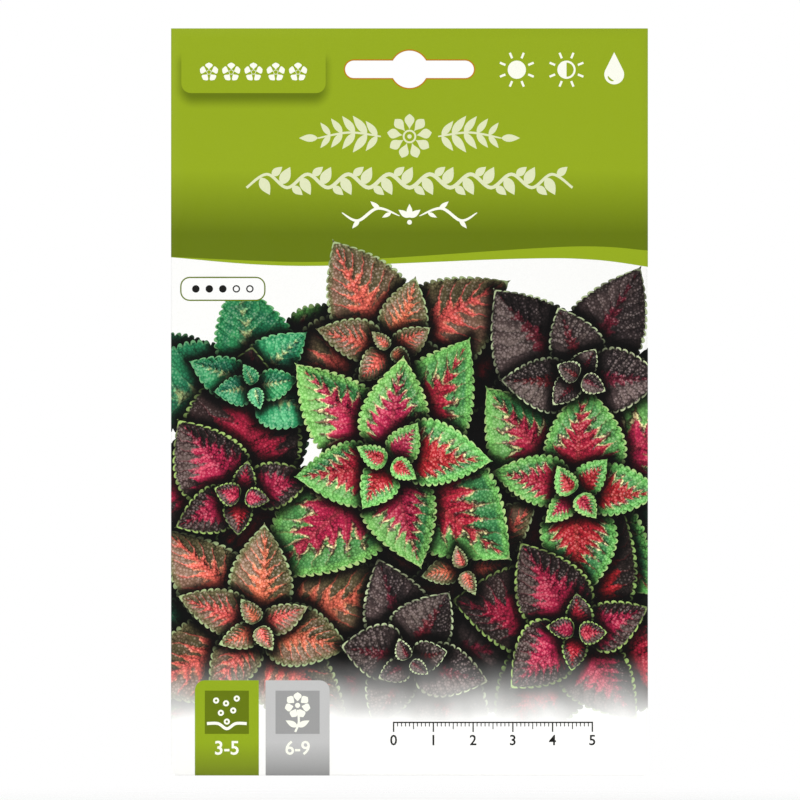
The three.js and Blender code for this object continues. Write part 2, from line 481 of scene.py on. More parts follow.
def vine(row):
    """Outlines of a waving stem, with two leaves and a bud at each turn of it."""
    half, turns = 41, 16
    stations = [(-half + 2 * half * i / turns, row + (1.7 if i % 2 else -1.7)) for i in range(turns + 1)]
    yield ribbon(smooth_line(stations, 128), 1.0, 0.4)
    for i in range(1, turns):
        x, up = stations[i][0], (1 if i % 2 else -1)
        yield petal(x - 1.6, row + up * 0.9, -62 * up, 5.0, 2.7)
        yield petal(x + 1.2, row + up * 1.3, 40 * up, 3.5, 2.0)
        yield disc(x - 0.3, row - up * 0.9, 0.62, 12)


def flourish(row):
    """Outlines of two curled strokes with small leaves, and of three leaves and a dot between them."""
    for side in (-1, 1):
        stations = ((2.5, 0), (8, 1.9), (13, -1.2), (17, 0.8))
        yield ribbon(smooth_line([(side * x, row + up) for x, up in stations], 28), 0.75, 0.75)
        yield petal(side * 7.4, row + 1.6, 90 - side * 50, 3.2, 1.2)
        yield petal(side * 12.6, row - 1.0, -90 + side * 40, 2.8, 1.1)
        yield petal(side * 4.6, row + 0.8, -90 + side * 62, 2.6, 1.0)
    for angle in (90, 35, 145):
        yield petal(0, row - 0.4, angle, 3.4, 1.5)
    yield disc(0, row - 1.6, 0.6)


def care_shapes():
    """Three plain growing signs: full sun, half sun and water."""
    row = down(10.4)
    for x, half in ((27, False), (39.5, True)):
        yield "white_ink", disc(x, row, 2.3, 28)
        if half:
            yield "header_green", arc(x, row, 1.8, -90, 90, 14)
        for k in range(8):
            ray = [polar(x, row, r, 45 * k + 22.5) for r in (3.1, 3.8, 4.6)]
            yield "white_ink", ribbon(ray, 0.55)
    x, low = 51.5, row - 1.2
    yield "white_ink", arc(x, low, 2.5, 155, 385, 20) + [(x, row + 4.4)]
    yield "header_green", ribbon(arc(x, low, 1.6, 195, 265, 8), 0.5, 0.6)


def label_shapes():
    """A row of small open flowers on the label."""
    row = down(11)
    for k in range(5):
        x = (LABEL_LEFT + LABEL_RIGHT) / 2 + (k - 2) * 5.6
        yield from printed("white_ink", rosette(x, row, 2.4, 5, 0.8))
        yield "label_green", disc(x, row, 0.5, 14)


def scale_shapes():
    """The small outlined box, with a scale of five dots."""
    middle, row = -46.95, down(65.55)
    for ink, half, high in (("olive_ink", 10.75, 3.05), ("paper_white", 10.41, 2.71)):
        yield ink, rounded_box(middle - half, middle + half, row - high, row + high, (high - 0.65,) * 4)
    for k in range(5):
        x = middle + (k - 2) * 3.4
        yield "black_ink", disc(x, row, 0.95)
        if k > 2:
            yield "paper_white", disc(x, row, 0.6)


def tab_shapes():
    """The two calendar tabs, which run on over the packet's foot."""
    square_low, square_high = down(TAB_SQUARE_FOOT), down(TAB_SQUARE_TOP)
    for ink, square, left, right, radii in TABS:
        middle = (left + right) / 2
        yield ink, rounded_box(left, right, FOOT_BENT - BOTTOM_FLAP, down(TAB_TOP), radii)
        yield square, rounded_box(middle - 5.55, middle + 5.55, square_low, square_high)
    yield from sowing_sign(SOWING_TAB, square_low)
    yield from flower_sign(FLOWER_TAB, square_low)
    for months, x in (("3-5", SOWING_TAB), ("6-9", FLOWER_TAB)):
        yield from printed("white_ink", numerals(months, x, down(181.2), 3.6))


def sowing_sign(x, floor):
    """Seeds falling into a furrow."""
    furrow = ((-5.0, 2.6), (-2.2, 2.6), (0, 1.3), (2.2, 2.6), (5.0, 2.6))
    yield "white_ink", ribbon(smooth_line([(x + dx, floor + up) for dx, up in furrow], 24), 0.75)
    for dx, up in ((0, 3.1), (-1.5, 5.3), (1.6, 5.9), (-0.2, 7.7), (-2.7, 8.4), (2.5, 8.9)):
        yield "white_ink", disc(x + dx, floor + up, 0.78, 16)
        yield "olive_ink", disc(x + dx, floor + up, 0.3, 10)


def flower_sign(x, floor):
    """One open flower on its stem."""
    stem = smooth_line([(x - 0.6, floor + 0.5), (x + 0.3, floor + 3), (x, floor + 6.5)], 14)
    yield "white_ink", ribbon(stem, 0.55)
    for angle in (28, 152):
        yield "white_ink", petal(x, floor + 1.8, angle, 3.4, 1.5)
    yield from printed("white_ink", rosette(x, floor + 7.2, 3.3, 7, 0.62))
    yield "grey_ink", disc(x, floor + 7.2, 1.15)
    yield "white_ink", disc(x, floor + 7.2, 0.65, 14)


def rule():
    """Outlines of a true rule in centimetres with plain numbers, for measuring the sowing depth."""
    left, line = RULER_LEFT, down(RULER_LINE)
    right = left + RULER_LENGTH
    yield rounded_box(left - LINE_HALF, right + LINE_HALF, line - LINE_HALF, line + LINE_HALF)
    for mm in range(RULER_LENGTH + 1):
        tick = 2.4 if mm % 10 == 0 else 1.7 if mm % 5 == 0 else 1.0
        half = LINE_HALF if mm % 10 == 0 else 0.12
        yield rounded_box(left + mm - half, left + mm + half, line - tick, line)
    for cm in range(RULER_LENGTH // 10 + 1):
        yield from numerals(str(cm), left + 10 * cm, line - 4.6, 2.7)


def flaps():
    """Outlines of the bare paper of the flaps, where the print stops a little way behind each fold."""
    start = SIDE_BENT + BLEED
    past = start + SIDE_FLAP
    for side in (-1, 1):
        yield rounded_box(*sorted((side * start, side * past)), FOOT_BENT, TOP + 1)
    yield rounded_box(-past, past, FOOT_BENT - BOTTOM_FLAP, FOOT_BENT - BLEED)


def understory():
    """Outlines of the dark ground seen between the leaves of the bouquet, kept inside it."""
    for _, x, depth, reach, _, roundness, _ in SHOOTS:
        ring = []
        for k in range(40):
            a = 2 * math.pi * k / 40
            r = reach * (0.36 + 0.08 * noise.noise(Vector((math.cos(a) * 2 + x, math.sin(a) * 2, depth))))
            ring.append((x + r * math.cos(a), down(depth) + r * roundness * math.sin(a)))
        yield ring


# ---- cutting and printing the blank


def top_shape(places, outlines):
    """The number of the last outline over each place, or -1 where there is none."""
    top = np.full(len(places), -1)
    for i, outline in enumerate(outlines):
        ring = np.array(outline)
        near = np.nonzero(((places > ring.min(0)) & (places < ring.max(0))).all(1))[0]
        x, z = places[near, 0][:, None], places[near, 1][:, None]
        (ax, az), (bx, bz) = ring.T, np.roll(ring, -1, axis=0).T
        rise = np.where(bz == az, 1e-9, bz - az)
        crossed = ((az > z) != (bz > z)) & (x < ax + (z - az) * (bx - ax) / rise)
        top[near[crossed.sum(1) % 2 == 1]] = i
    return top


def cut_plane(points, edges, outlines):
    """Triangles between the points, along every edge, and the topmost outline over each one."""
    cut, _, triangles, *_ = delaunay_2d_cdt([Vector(p) for p in points], edges, [], 0, 1e-4)
    cut, triangles = np.array([tuple(p) for p in cut]), np.array(triangles)
    return cut, triangles, top_shape(cut[triangles].mean(1), outlines)


def partition(outlines, labels, loose, lines, spacing):
    """Cuts the plane where the label of the topmost outline changes, and along some further lines.

    Gives points, triangles, and the number of the topmost outline over each triangle.
    """
    points, edges = [], []
    for outline in outlines:
        ring = list(range(len(points), len(points) + len(outline)))
        points += outline
        edges += zip(ring, ring[1:] + ring[:1])
    cut, triangles, top = cut_plane(points, edges, outlines)
    beside = {}
    for triangle, shape in zip(triangles, top):
        for a, b in zip(triangle, np.roll(triangle, -1)):
            beside.setdefault((min(a, b), max(a, b)), []).append(labels[shape] if shape >= 0 else None)
    seams = [edge for edge, sides in beside.items() if sides[0] != (sides[1] if len(sides) > 1 else None)]

    used = sorted({v for edge in seams for v in edge})
    number = {v: i for i, v in enumerate(used)}
    points = [tuple(cut[v]) for v in used]
    edges = [(number[a], number[b]) for a, b in seams]
    for line in lines:
        edges += [(i, i + 1) for i in range(len(points), len(points) + len(line) - 1)]
        points += line
    taken = KDTree(len(points))
    for i, point in enumerate(points):
        taken.insert((*point, 0), i)
    taken.balance()
    points += [p for p in loose if taken.find((*p, 0))[2] > spacing]
    return cut_plane(points, edges, outlines)


def without_spare_points(cut, triangles):
    """The same triangles, and only the points that they use."""
    used, renumbered = np.unique(triangles, return_inverse=True)
    return cut[used], renumbered.reshape(-1, 3)


def blank_outline():
    """The flat front sheet: its face, two side flaps and a bottom flap, mitred towards each other."""
    flap_ends = (TOP, TOP - FLAP_CUT_HEIGHT, BOTTOM + SIDE_FLAP + FLAP_MITRE, FOLD_Z + 0.7, FOLD_Z)
    right = [(SIDE_BENT + side_flap(z) - BEND_RADIUS, z) for z in flap_ends]
    right += [(FOLD_X - BEND_RADIUS, FOLD_Z), (FOLD_X - BEND_RADIUS, FOOT_BENT)]
    right.append((HALF_WIDTH - BOTTOM_FLAP - FLAP_MITRE, FOOT_BENT - BOTTOM_FLAP + BEND_RADIUS))
    return right + [(-x, z) for x, z in right[::-1]]


def bend_lines():
    """Lines across each fold, so that it bends round instead of creasing at one edge."""
    lines = []
    for k in range(BEND_STEPS + 1):
        s = FOLD_X + BEND_LENGTH * k / BEND_STEPS
        lines += [[(side * s, FOLD_Z), (side * s, TOP)] for side in (-1, 1)]
        t = FOLD_Z - BEND_LENGTH * k / BEND_STEPS
        lines.append([(-FOLD_X + BEND_RADIUS, t), (FOLD_X - BEND_RADIUS, t)])
    return lines


def grid_points(low, high, step):
    """Points in offset rows between two heights of the face, which make even triangles."""
    rows = int((high - low) / (step * 0.87))
    columns = int(2 * FOLD_X / step)
    points = []
    for r in range(1, rows):
        z = low + (high - low) * r / rows
        for c in range(1, columns):
            points.append((-FOLD_X + 2 * FOLD_X * (c + 0.5 * (r % 2)) / columns, z))
    return points


def loose_points(fine, wide=3):
    """Points that fill the flat sheet evenly: close together in the picture, and wide apart elsewhere."""
    head, foot = down(PICTURE_TOP), down(PICTURE_END + 6)
    points = grid_points(foot, head, fine) + grid_points(head, TOP, wide) + grid_points(FOLD_Z, foot, wide)
    for side in (-1, 1):
        strip = [side * (FOLD_X + BEND_LENGTH * k / BEND_STEPS) for k in range(BEND_STEPS + 1)]
        strip += [side * (SIDE_BENT + k * BLEED / 4) for k in range(1, 5)]
        heights = np.arange(down(PICTURE_END), head, fine)
        points += [(s, z + 0.5 * fine * (i % 2)) for i, s in enumerate(strip) for z in heights]
        inner, outer = side * (SIDE_BENT + 3), side * (SIDE_BENT + SIDE_FLAP - 2)
        heights = np.linspace(BOTTOM + 16, TOP - 8, 50)
        points += [(s, z) for s in (inner, (inner + outer) / 2, outer) for z in heights]
    return points + [(x, FOOT_BENT - dz) for dz in (3, 7, 10.5) for x in np.linspace(-44, 44, 34)]


# ---- the printed front sheet

TEETH_SCALE = 64
SMALL_LEAF = 15
SHADOW_REACH = 2.2
SHADOW_DEPTH = 0.90
FAR = 99.0


def distance_to_outline(points, outline):
    """Each point's distance to a closed line, in millimetres."""
    a = np.array(outline)
    along = np.roll(a, -1, axis=0) - a
    span = np.maximum((along**2).sum(1), 1e-12)
    rel = points[:, None, :] - a[None, :, :]
    t = np.clip((rel * along).sum(2) / span, 0, 1)
    gap = rel - t[..., None] * along
    return np.sqrt((gap**2).sum(2).min(1))


def leaf_fields(points, outlines):
    """For each leaf and point: distance to the leaf's edge, and the light left under all leaves above it."""
    edge = np.full((len(outlines), len(points)), FAR, dtype=np.float32)
    for i, outline in enumerate(outlines):
        low = np.min(outline, axis=0) - 3 * SHADOW_REACH
        high = np.max(outline, axis=0) + 3 * SHADOW_REACH
        near = np.nonzero(((points > low) & (points < high)).all(1))[0]
        edge[i, near] = distance_to_outline(points[near], outline)
    light = np.ones((len(outlines) + 1, len(points)), dtype=np.float32)
    for i in range(len(outlines) - 1, -1, -1):
        light[i] = light[i + 1] * (1 - SHADOW_DEPTH * np.exp(-((edge[i] / SHADOW_REACH) ** 2)))
    return edge, light


def print_leaf_fields(mesh, cut, triangles, owner, leaves, outlines):
    """Writes each leaf's pattern position, edge distance and light to the corners of its triangles.

    The colour leaf_tone holds the leaf's tone, its light, how lit it is, and its count of teeth.
    """
    edge, light = leaf_fields(cut, outlines)
    uv = np.zeros((len(triangles), 3, 2), dtype=np.float32)
    rim = np.zeros((len(triangles), 3), dtype=np.float32)
    tone = np.ones((len(triangles), 3, 4), dtype=np.float32)
    for i, leaf in enumerate(leaves):
        rows = np.nonzero(owner == i)[0]
        if not len(rows):
            continue
        v = triangles[rows]
        u, across = leaf.pattern_position(cut[v.ravel()])
        uv[rows] = np.stack((u, across), axis=1).reshape(-1, 3, 2)
        rim[rows] = edge[i, v] * max(1, SMALL_LEAF / leaf.length)
        tone[rows, :, 0] = leaf.tone
        tone[rows, :, 1] = light[i + 1, v] * leaf.tier
        tone[rows, :, 2] = leaf.lit
        tone[rows, :, 3] = leaf.teeth / TEETH_SCALE
    ground = np.nonzero((owner < 0) | (owner >= len(leaves)))[0]
    tone[ground, :, 1] = light[0, triangles[ground]]
    mesh.uv_layers.new(name="leaf").data.foreach_set("uv", uv.ravel())
    mesh.attributes.new("leaf_edge", "FLOAT", "CORNER").data.foreach_set("value", rim.ravel())
    mesh.attributes.new("leaf_tone", "FLOAT_COLOR", "CORNER").data.foreach_set("color", tone.ravel())


def printed_front_sheet(inks):
    """The printed front sheet: one blank, cut and printed flat, then folded and given its thickness."""
    leaves = bouquet()
    leaf_outlines = [leaf.outline() for leaf in leaves]
    shapes = [("paper_white", blank_outline()), *header_shapes(), *ornament_shapes(), *care_shapes()]
    shapes += [*label_shapes(), *printed("understory", understory())]
    first_leaf = len(shapes)
    shapes += [(leaf.kind, outline) for leaf, outline in zip(leaves, leaf_outlines)]
    shapes += [*scale_shapes(), *tab_shapes()]
    shapes += printed("black_ink", rule()) + printed("paper_white", flaps())
    slot = len(shapes)
    shapes.append(("hole", slot_outline()))

    fine = 1.1
    labels = [ink for ink, _ in shapes]
    labels[first_leaf : first_leaf + len(leaves)] = range(len(leaves))
    outlines = [outline for _, outline in shapes]
    lines = bend_lines() + [blank_outline() + blank_outline()[:1]]
    cut, triangles, top = partition(outlines, labels, loose_points(fine), lines, 0.45 * fine)
    kept = (top_shape(cut[triangles].mean(1), [blank_outline()]) == 0) & (top != slot)
    top = top[kept]
    cut, triangles = without_spare_points(cut, triangles[kept])

    mesh = bpy.data.meshes.new("front_sheet_print")
    mesh.from_pydata([[c * MM for c in fold(s, t)] for s, t in cut], [], triangles.tolist())
    names = list(inks)
    for ink in inks.values():
        mesh.materials.append(ink)
    mesh.polygons.foreach_set("material_index", [names.index(shapes[i][0]) for i in top])
    print_leaf_fields(mesh, cut, triangles, top - first_leaf, leaves, leaf_outlines)
    return finish_sheet("front_sheet_print", mesh, cut, "front_sheet")


# The face of a sheet fills its map. Its inside, at a third of the size, and its edges share the right side.
MAP_MARGIN, MAP_FACE = 0.01, 0.98
MAP_INSIDE_LEFT = 0.72
MAP_EDGE = ((0.75, 0.5), (0.9, 0.5), (0.9, 0.65), (0.75, 0.65))


def lay_flat(mesh, cut):
    """Maps a sheet from its flat state.

    The first half of the points are the outer side's, in the order of the flat cut sheet, and the rest lie
    under them.
    """
    vertex = np.empty(len(mesh.loops), dtype=np.int32)
    mesh.loops.foreach_get("vertex_index", vertex)
    flat = (cut - cut.min(0)) / np.ptp(cut, axis=0).max() * MAP_FACE + MAP_MARGIN
    uv = flat[vertex % len(cut)]
    inside = vertex >= len(cut)
    for face in mesh.polygons:
        loops = slice(face.loop_start, face.loop_start + face.loop_total)
        under = inside[loops].sum()
        if under == face.loop_total:
            uv[loops] = uv[loops] / 3 + (MAP_INSIDE_LEFT, 0)
        elif under:
            uv[loops] = MAP_EDGE[: face.loop_total]
    layer = mesh.uv_layers.new(name="OFBake")
    layer.data.foreach_set("uv", uv.astype(np.float32).ravel())


def add_object(name, data):
    """Adds an object to the scene."""
    made = bpy.data.objects.new(name, data)
    bpy.context.scene.collection.objects.link(made)
    return made


def finish_sheet(name, mesh, cut, node):
    """Gives a sheet its thickness inwards, crisp cut edges, and its place in the frame."""
    piece = add_object(name, mesh)
    solid = piece.modifiers.new("thickness", "SOLIDIFY")
    solid.thickness = PAPER * MM
    solid.offset = -1
    solid.material_offset = len(mesh.materials)
    solid.material_offset_rim = len(mesh.materials)
    made = bpy.data.meshes.new_from_object(piece.evaluated_get(bpy.context.evaluated_depsgraph_get()))
    piece.modifiers.clear()
    piece.data = made
    lay_flat(made, cut)
    made.shade_smooth()
    made.set_sharp_from_angle(angle=math.radians(50))
    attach(piece, "root")
    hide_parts(node)
    return piece


# ---- materials


def srgb(red, green, blue):
    """A colour given as it looks on a screen, 0 to 255, as the linear values that a shader takes."""
    linear = [c / 255 / 12.92 if c <= 10 else ((c / 255 + 0.055) / 1.055) ** 2.4 for c in (red, green, blue)]
    return (*linear, 1.0)


class Wire:
    """A value on its way through a material. Arithmetic on it adds the nodes that work it out."""

    def __init__(self, recipe, socket):
        self.recipe = recipe
        self.socket = socket

    def __add__(self, other):
        return self.recipe.math("ADD", self, other)

    def __sub__(self, other):
        return self.recipe.math("SUBTRACT", self, other)

    def __mul__(self, other):
        return self.recipe.math("MULTIPLY", self, other)

    def __pow__(self, other):
        return self.recipe.math("POWER", self, other)

    def __abs__(self):
        return self.recipe.math("ABSOLUTE", self)

    def ramp(self, low, high, start=0.0, end=1.0, shape="SMOOTHSTEP"):
        """Goes from start to end as this value goes from low to high, and stays there."""
        node = self.recipe.new("MapRange")
        node.interpolation_type = shape
        return self.recipe.fed(node, (self, low, high, start, end))


class Recipe:
    """A material being mixed. Each step adds a node, and gives a wire from it."""

    def __init__(self, name):
        self.material = bpy.data.materials.new(name)
        self.material.use_nodes = True
        self.nodes = self.material.node_tree.nodes
        self.links = self.material.node_tree.links
        self.shader = self.nodes["Principled BSDF"]

    def new(self, kind):
        return self.nodes.new("ShaderNode" + kind)

    def feed(self, socket, value):
        if isinstance(value, Wire):
            self.links.new(value.socket, socket)
        else:
            socket.default_value = value

    def fed(self, node, inputs, output=0):
        """Feeds a node's inputs, in their order or by number or name, and gives a wire from one output."""
        for key, value in inputs.items() if isinstance(inputs, dict) else enumerate(inputs):
            self.feed(node.inputs[key], value)
        return Wire(self, node.outputs[output])

    def math(self, operation, *values):
        node = self.new("Math")
        node.operation = operation
        return self.fed(node, values)

    def mix(self, factor, a, b, blend="MIX"):
        node = self.new("Mix")
        node.data_type = "RGBA"
        node.blend_type = blend
        return self.fed(node, {0: factor, 6: a, 7: b}, 2)

    def shade(self, colour, factor):
        """A colour made lighter or darker by a factor."""
        return self.mix(1.0, colour, self.join(factor, factor, factor), "MULTIPLY")

    def place(self):
        """The point on the piece, in millimetres."""
        coords = Wire(self, self.new("TexCoord").outputs["Object"])
        node = self.new("VectorMath")
        node.operation = "SCALE"
        return self.fed(node, {0: coords, "Scale": 1 / MM})

    def split(self, vector):
        """The three parts of a point or a colour."""
        node = self.new("SeparateXYZ")
        self.feed(node.inputs[0], vector)
        return [Wire(self, socket) for socket in node.outputs]

    def join(self, *parts):
        return self.fed(self.new("CombineXYZ"), parts)

    def noise(self, vector, scale, detail=2.0, roughness=0.5):
        inputs = {"Vector": vector, "Scale": scale, "Detail": detail, "Roughness": roughness}
        return self.fed(self.new("TexNoise"), inputs, "Fac")

    def cells(self, vector, scale, feature="F1"):
        node = self.new("TexVoronoi")
        node.feature = feature
        return self.fed(node, {"Vector": vector, "Scale": scale}, "Distance")

    def uv(self, name):
        node = self.new("UVMap")
        node.uv_map = name
        return Wire(self, node.outputs[0])

    def attribute(self, name, output="Fac"):
        node = self.new("Attribute")
        node.attribute_name = name
        return Wire(self, node.outputs[output])

    def bump(self, height, strength, depth):
        """Raises the surface by a height that stands for this many millimetres."""
        inputs = {"Strength": strength, "Distance": depth * MM, "Height": height}
        self.feed(self.shader.inputs["Normal"], self.fed(self.new("Bump"), inputs))

    def paper_finish(self, colour, roughness=0.42, relief=0.15):
        """Paper: its colour, an even satin gloss with faint cloudiness, and the fibre below it."""
        place = self.place()
        cloud = self.noise(place, 0.35, 3)
        grain = self.noise(place, 3.2, 4, 0.6)
        gloss = cloud.ramp(0.25, 0.75, roughness - 0.05, roughness + 0.07)
        self.feed(self.shader.inputs["Base Color"], self.shade(colour, grain.ramp(0.2, 0.8, 0.972, 1.018)))
        self.feed(self.shader.inputs["Roughness"], gloss)
        self.bump(grain + self.noise(place, 0.12, 2) * 2.0, relief, 0.02)
        self.shader.inputs["Specular IOR Level"].default_value = 0.13
        return self.material


PAPER_WHITE = srgb(252, 252, 250)
GREEN = srgb(150, 172, 28)
OLIVE = srgb(102, 120, 9)
FLAT_INKS = {
    "paper_white": PAPER_WHITE,
    "stripe_green": GREEN,
    "label_green": GREEN,
    "die_line": srgb(188, 128, 20),
    "cream_ink": srgb(226, 231, 190),
    "white_ink": srgb(253, 254, 240),
    "olive_ink": OLIVE,
    "black_ink": srgb(22, 22, 20),
    "grey_ink": srgb(158, 158, 158),
}


def darkened(recipe, depths, colour, dark):
    """A colour that darkens evenly down the sheet, between two depths below the top edge."""
    height = recipe.split(recipe.place())[2]
    return recipe.mix(height.ramp(down(depths[1]), down(depths[0]), 1.0, 0.0, "LINEAR"), colour, dark)


def tab_ink(name, colour, dark):
    recipe = Recipe(name)
    return recipe.paper_finish(darkened(recipe, TAB_FADE, colour, dark))


def label_shadow(recipe):
    """How dark the label's drop shadow is at a point: a rounded box, moved down and softened."""
    x, y, z = recipe.split(recipe.place())
    beyond = []
    for value, low, high in ((x, LABEL_LEFT + 0.9, LABEL_RIGHT - 0.9), (z, down(17.5), down(6.3))):
        off_middle = abs(value - (low + high) / 2)
        beyond.append(recipe.math("MAXIMUM", off_middle - ((high - low) / 2 - LABEL_CORNER), 0.0))
    reach = recipe.math("SQRT", beyond[0] ** 2.0 + beyond[1] ** 2.0)
    near = reach.ramp(1.7, 5.5, 1.0, 0.0) * z.ramp(down(9.5), down(4.5), 0.98, 0.0)
    on_face = recipe.math("LESS_THAN", y, 0.0)
    return on_face * near


def header_ink():
    recipe = Recipe("header_green")
    colour = darkened(recipe, HEADER_FADE, GREEN, OLIVE)
    return recipe.paper_finish(recipe.mix(label_shadow(recipe), colour, OLIVE))


def picture_fade(recipe):
    """How far the picture has faded into the white at its foot, as a power, so that it looks even."""
    place = recipe.place()
    height = recipe.split(place)[2] + (recipe.noise(place, 0.08, 2) - 0.5) * 6.0
    return height.ramp(down(PICTURE_END), down(PICTURE_FADE), 1.0, 0.0, "LINEAR") ** 2.0


def understory_ink():
    recipe = Recipe("understory")
    blotch = recipe.noise(recipe.place(), 0.5, 4, 0.6)
    colour = recipe.mix(blotch.ramp(0.35, 0.7), srgb(7, 7, 6), srgb(24, 30, 22))
    light = recipe.split(recipe.attribute("leaf_tone", "Color"))[1].ramp(0.0, 1.0, 0.15, 1.0)
    return recipe.paper_finish(recipe.mix(picture_fade(recipe), recipe.shade(colour, light), PAPER_WHITE))


def leaf_ink(name, inner, outer, traits):
    """A variegated leaf: its blade, flamed heart, dark stain and pale flecks, veins, outer band and rim."""
    blade_ink, deep_ink, heart_ink, stain_ink = [srgb(*colour) for colour in inner]
    fleck_ink, vein_ink, band_ink, rim_ink = [srgb(*colour) for colour in outer]
    heart_reach, jag, stain_force, vein_force, band_width, rim_width, beads, bloom = traits
    recipe = Recipe(name)
    mix, noise_at, join = recipe.mix, recipe.noise, recipe.join
    u, v, _ = recipe.split(recipe.uv("leaf"))
    edge = recipe.attribute("leaf_edge")
    tone, light, lit = recipe.split(recipe.attribute("leaf_tone", "Color"))
    teeth = recipe.attribute("leaf_tone", "Alpha") * TEETH_SCALE
    own = tone * 37.0
    x, _, z = recipe.split(recipe.place())
    ground = join(x, own, z)
    across = abs(v)
    flank = v.ramp(-0.10, 0.10, -1.0, 1.0) * (lit - 0.5)
    wander = noise_at(join(u * 5.0, v * 1.6, own), 1.3, 2) - 0.5
    fine = noise_at(join(u * 22.0, v * 8.0, own), 1.0, 3, 0.65)
    coarse = noise_at(join(u * 7.0, v * 2.4, own), 1.0, 2) - 0.5
    blotch = noise_at(join(u * 12.0, own, v * 6.0), 1.0, 2, 0.6)

    # Side veins leave the midrib slanting towards the tip; saw runs 0 to 1 from each vein to the next.
    saw = recipe.math("FRACT", u * 9.0 - across * 2.3 + wander)
    to_vein = abs(saw - 0.5) * 2.0
    side_vein = to_vein.ramp(0.78, 0.98) * across.ramp(0.55, 0.98, 1.0, 0.0)
    midrib = (wander * 0.04 + across).ramp(0.02, 0.085, 1.0, 0.0)
    veins = recipe.math("MAXIMUM", side_vein, midrib)
    hatch = recipe.math("FRACT", (saw + across * 0.6) * 3.0)

    # The heart's edge runs out along the veins. depth is how far inside it a point lies.
    reach = u.ramp(0.1, 0.98, heart_reach, 0.0) * u.ramp(-0.05, 0.2, 0.5, 1.0)
    reach += (to_vein - 0.5) * jag
    reach += (fine - 0.5) * (jag * 1.5)
    reach += coarse * (jag * 1.1)
    depth = reach - across
    colour = mix((flank + coarse).ramp(-0.3, 0.3), deep_ink, blade_ink)
    colour = mix(depth.ramp(-0.03, 0.05), colour, heart_ink)
    stained = depth.ramp(-0.24, -0.12) * depth.ramp(0.12, 0.24, 1.0, 0.0) * blotch.ramp(0.46, 0.53)
    colour = mix(stained * stain_force, colour, stain_ink)
    fringe = abs(depth - 0.05).ramp(0.02, 0.11, 1.0, 0.0) * fine.ramp(0.44, 0.60)
    colour = mix(fringe, colour, fleck_ink)
    colour = mix(veins * vein_force, colour, vein_ink)
    band = (coarse * 1.6 + edge).ramp(band_width * 0.5, band_width * 1.2 + 0.05, 1.0, 0.0)
    colour = mix(band, colour, band_ink)

    # Quilted relief: each half of the blade is crowned, panels between veins have a bright and a dark flank,
    # and the whole is finely blistered between creases.
    blister = recipe.cells(ground, 1.35)
    crease = recipe.cells(ground, 1.35, "DISTANCE_TO_EDGE")
    relief = saw.ramp(0.05, 0.95, 1.20, 0.80) + (noise_at(ground, 2.6, 3, 0.7) - 0.5) * 0.75
    relief += blister.ramp(0.1, 0.75, 0.20, -0.22)
    relief += crease.ramp(0.02, 0.16, -0.26, 0.04)
    relief += abs(across - 0.5).ramp(0.0, 0.5, 0.12, -0.12)
    relief += hatch.ramp(0.78, 0.96, 0.0, -0.14)
    relief += flank * 0.62
    relief *= u.ramp(0.45, 1.05, 1.04, 0.90)
    relief *= light * light.ramp(0.0, 0.75, 0.12, 1.26)
    colour = recipe.shade(colour, relief)
    colour = mix(relief.ramp(0.95, 1.7, 0.0, 0.15), colour, srgb(210, 194, 180))
    glow = blister.ramp(0.10, 0.45, 1.0, 0.0) * (relief.ramp(0.7, 1.5) * light)
    colour = mix(glow * bloom, colour, srgb(214, 190, 196))

    # The rim last: pale beads on the teeth, dark in the notches between them, fainter along some stretches.
    tooth = abs(recipe.math("SINE", u * teeth * math.pi))
    bead = tooth.ramp(0.25, 0.7, 1.0 - beads, 1.0)
    bead *= noise_at(ground, 0.16, 1).ramp(0.38, 0.55, 0.35, 1.0)
    pale = edge.ramp(rim_width * 0.7, rim_width * 1.2, 0.95, 0.0) * bead
    colour = mix(pale, colour, recipe.shade(rim_ink, light * light.ramp(0.0, 0.5, 0.5, 1.0)))
    hue = recipe.math("FRACT", tone * 7.0).ramp(0.0, 1.0, 0.490, 0.508)
    inputs = {"Value": tone.ramp(0.0, 1.0, 0.86, 1.12), "Hue": hue, "Color": colour}
    varied = recipe.fed(recipe.new("HueSaturation"), inputs)
    return recipe.paper_finish(mix(picture_fade(recipe), varied, PAPER_WHITE))


# Each kind of leaf: blade, deep shade, heart and stain, then fleck, veins, band and rim, as seen on a screen;
# then the heart's reach and jag, the force of stain and veins, band and rim width in mm, beads and bloom.
LEAF_KINDS = {
    "flame": (
        ((106, 170, 88), (60, 132, 76), (182, 34, 60), (56, 28, 28)),
        ((232, 226, 160), (170, 92, 74), (116, 190, 94), (186, 218, 138)),
        (0.80, 0.38, 0.85, 0.24, 1.6, 0.26, 0.7, 0.20),
    ),
    "velvet": (
        ((78, 64, 62), (44, 36, 36), (136, 34, 50), (32, 26, 26)),
        ((104, 40, 48), (22, 16, 16), (44, 36, 34), (200, 216, 168)),
        (0.24, 0.18, 0.5, 0.60, 1.0, 0.32, 0.95, 0.17),
    ),
    "bronze": (
        ((128, 98, 78), (92, 84, 56), (224, 108, 84), (86, 62, 54)),
        ((232, 146, 108), (222, 100, 84), (112, 106, 70), (176, 198, 142)),
        (0.48, 0.46, 0.5, 0.60, 1.3, 0.32, 0.9, 0.28),
    ),
    "jade": (
        ((50, 152, 96), (26, 110, 78), (206, 208, 140), (70, 96, 80)),
        ((120, 190, 130), (110, 186, 128), (40, 140, 88), (130, 196, 134)),
        (0.18, 0.26, 0.5, 0.34, 1.2, 0.24, 0.7, 0.18),
    ),
    "ember": (
        ((58, 42, 40), (40, 32, 30), (178, 32, 56), (38, 24, 24)),
        ((120, 34, 44), (112, 30, 42), (42, 34, 30), (164, 200, 112)),
        (0.78, 0.30, 0.85, 0.36, 1.0, 0.34, 0.9, 0.13),
    ),
}


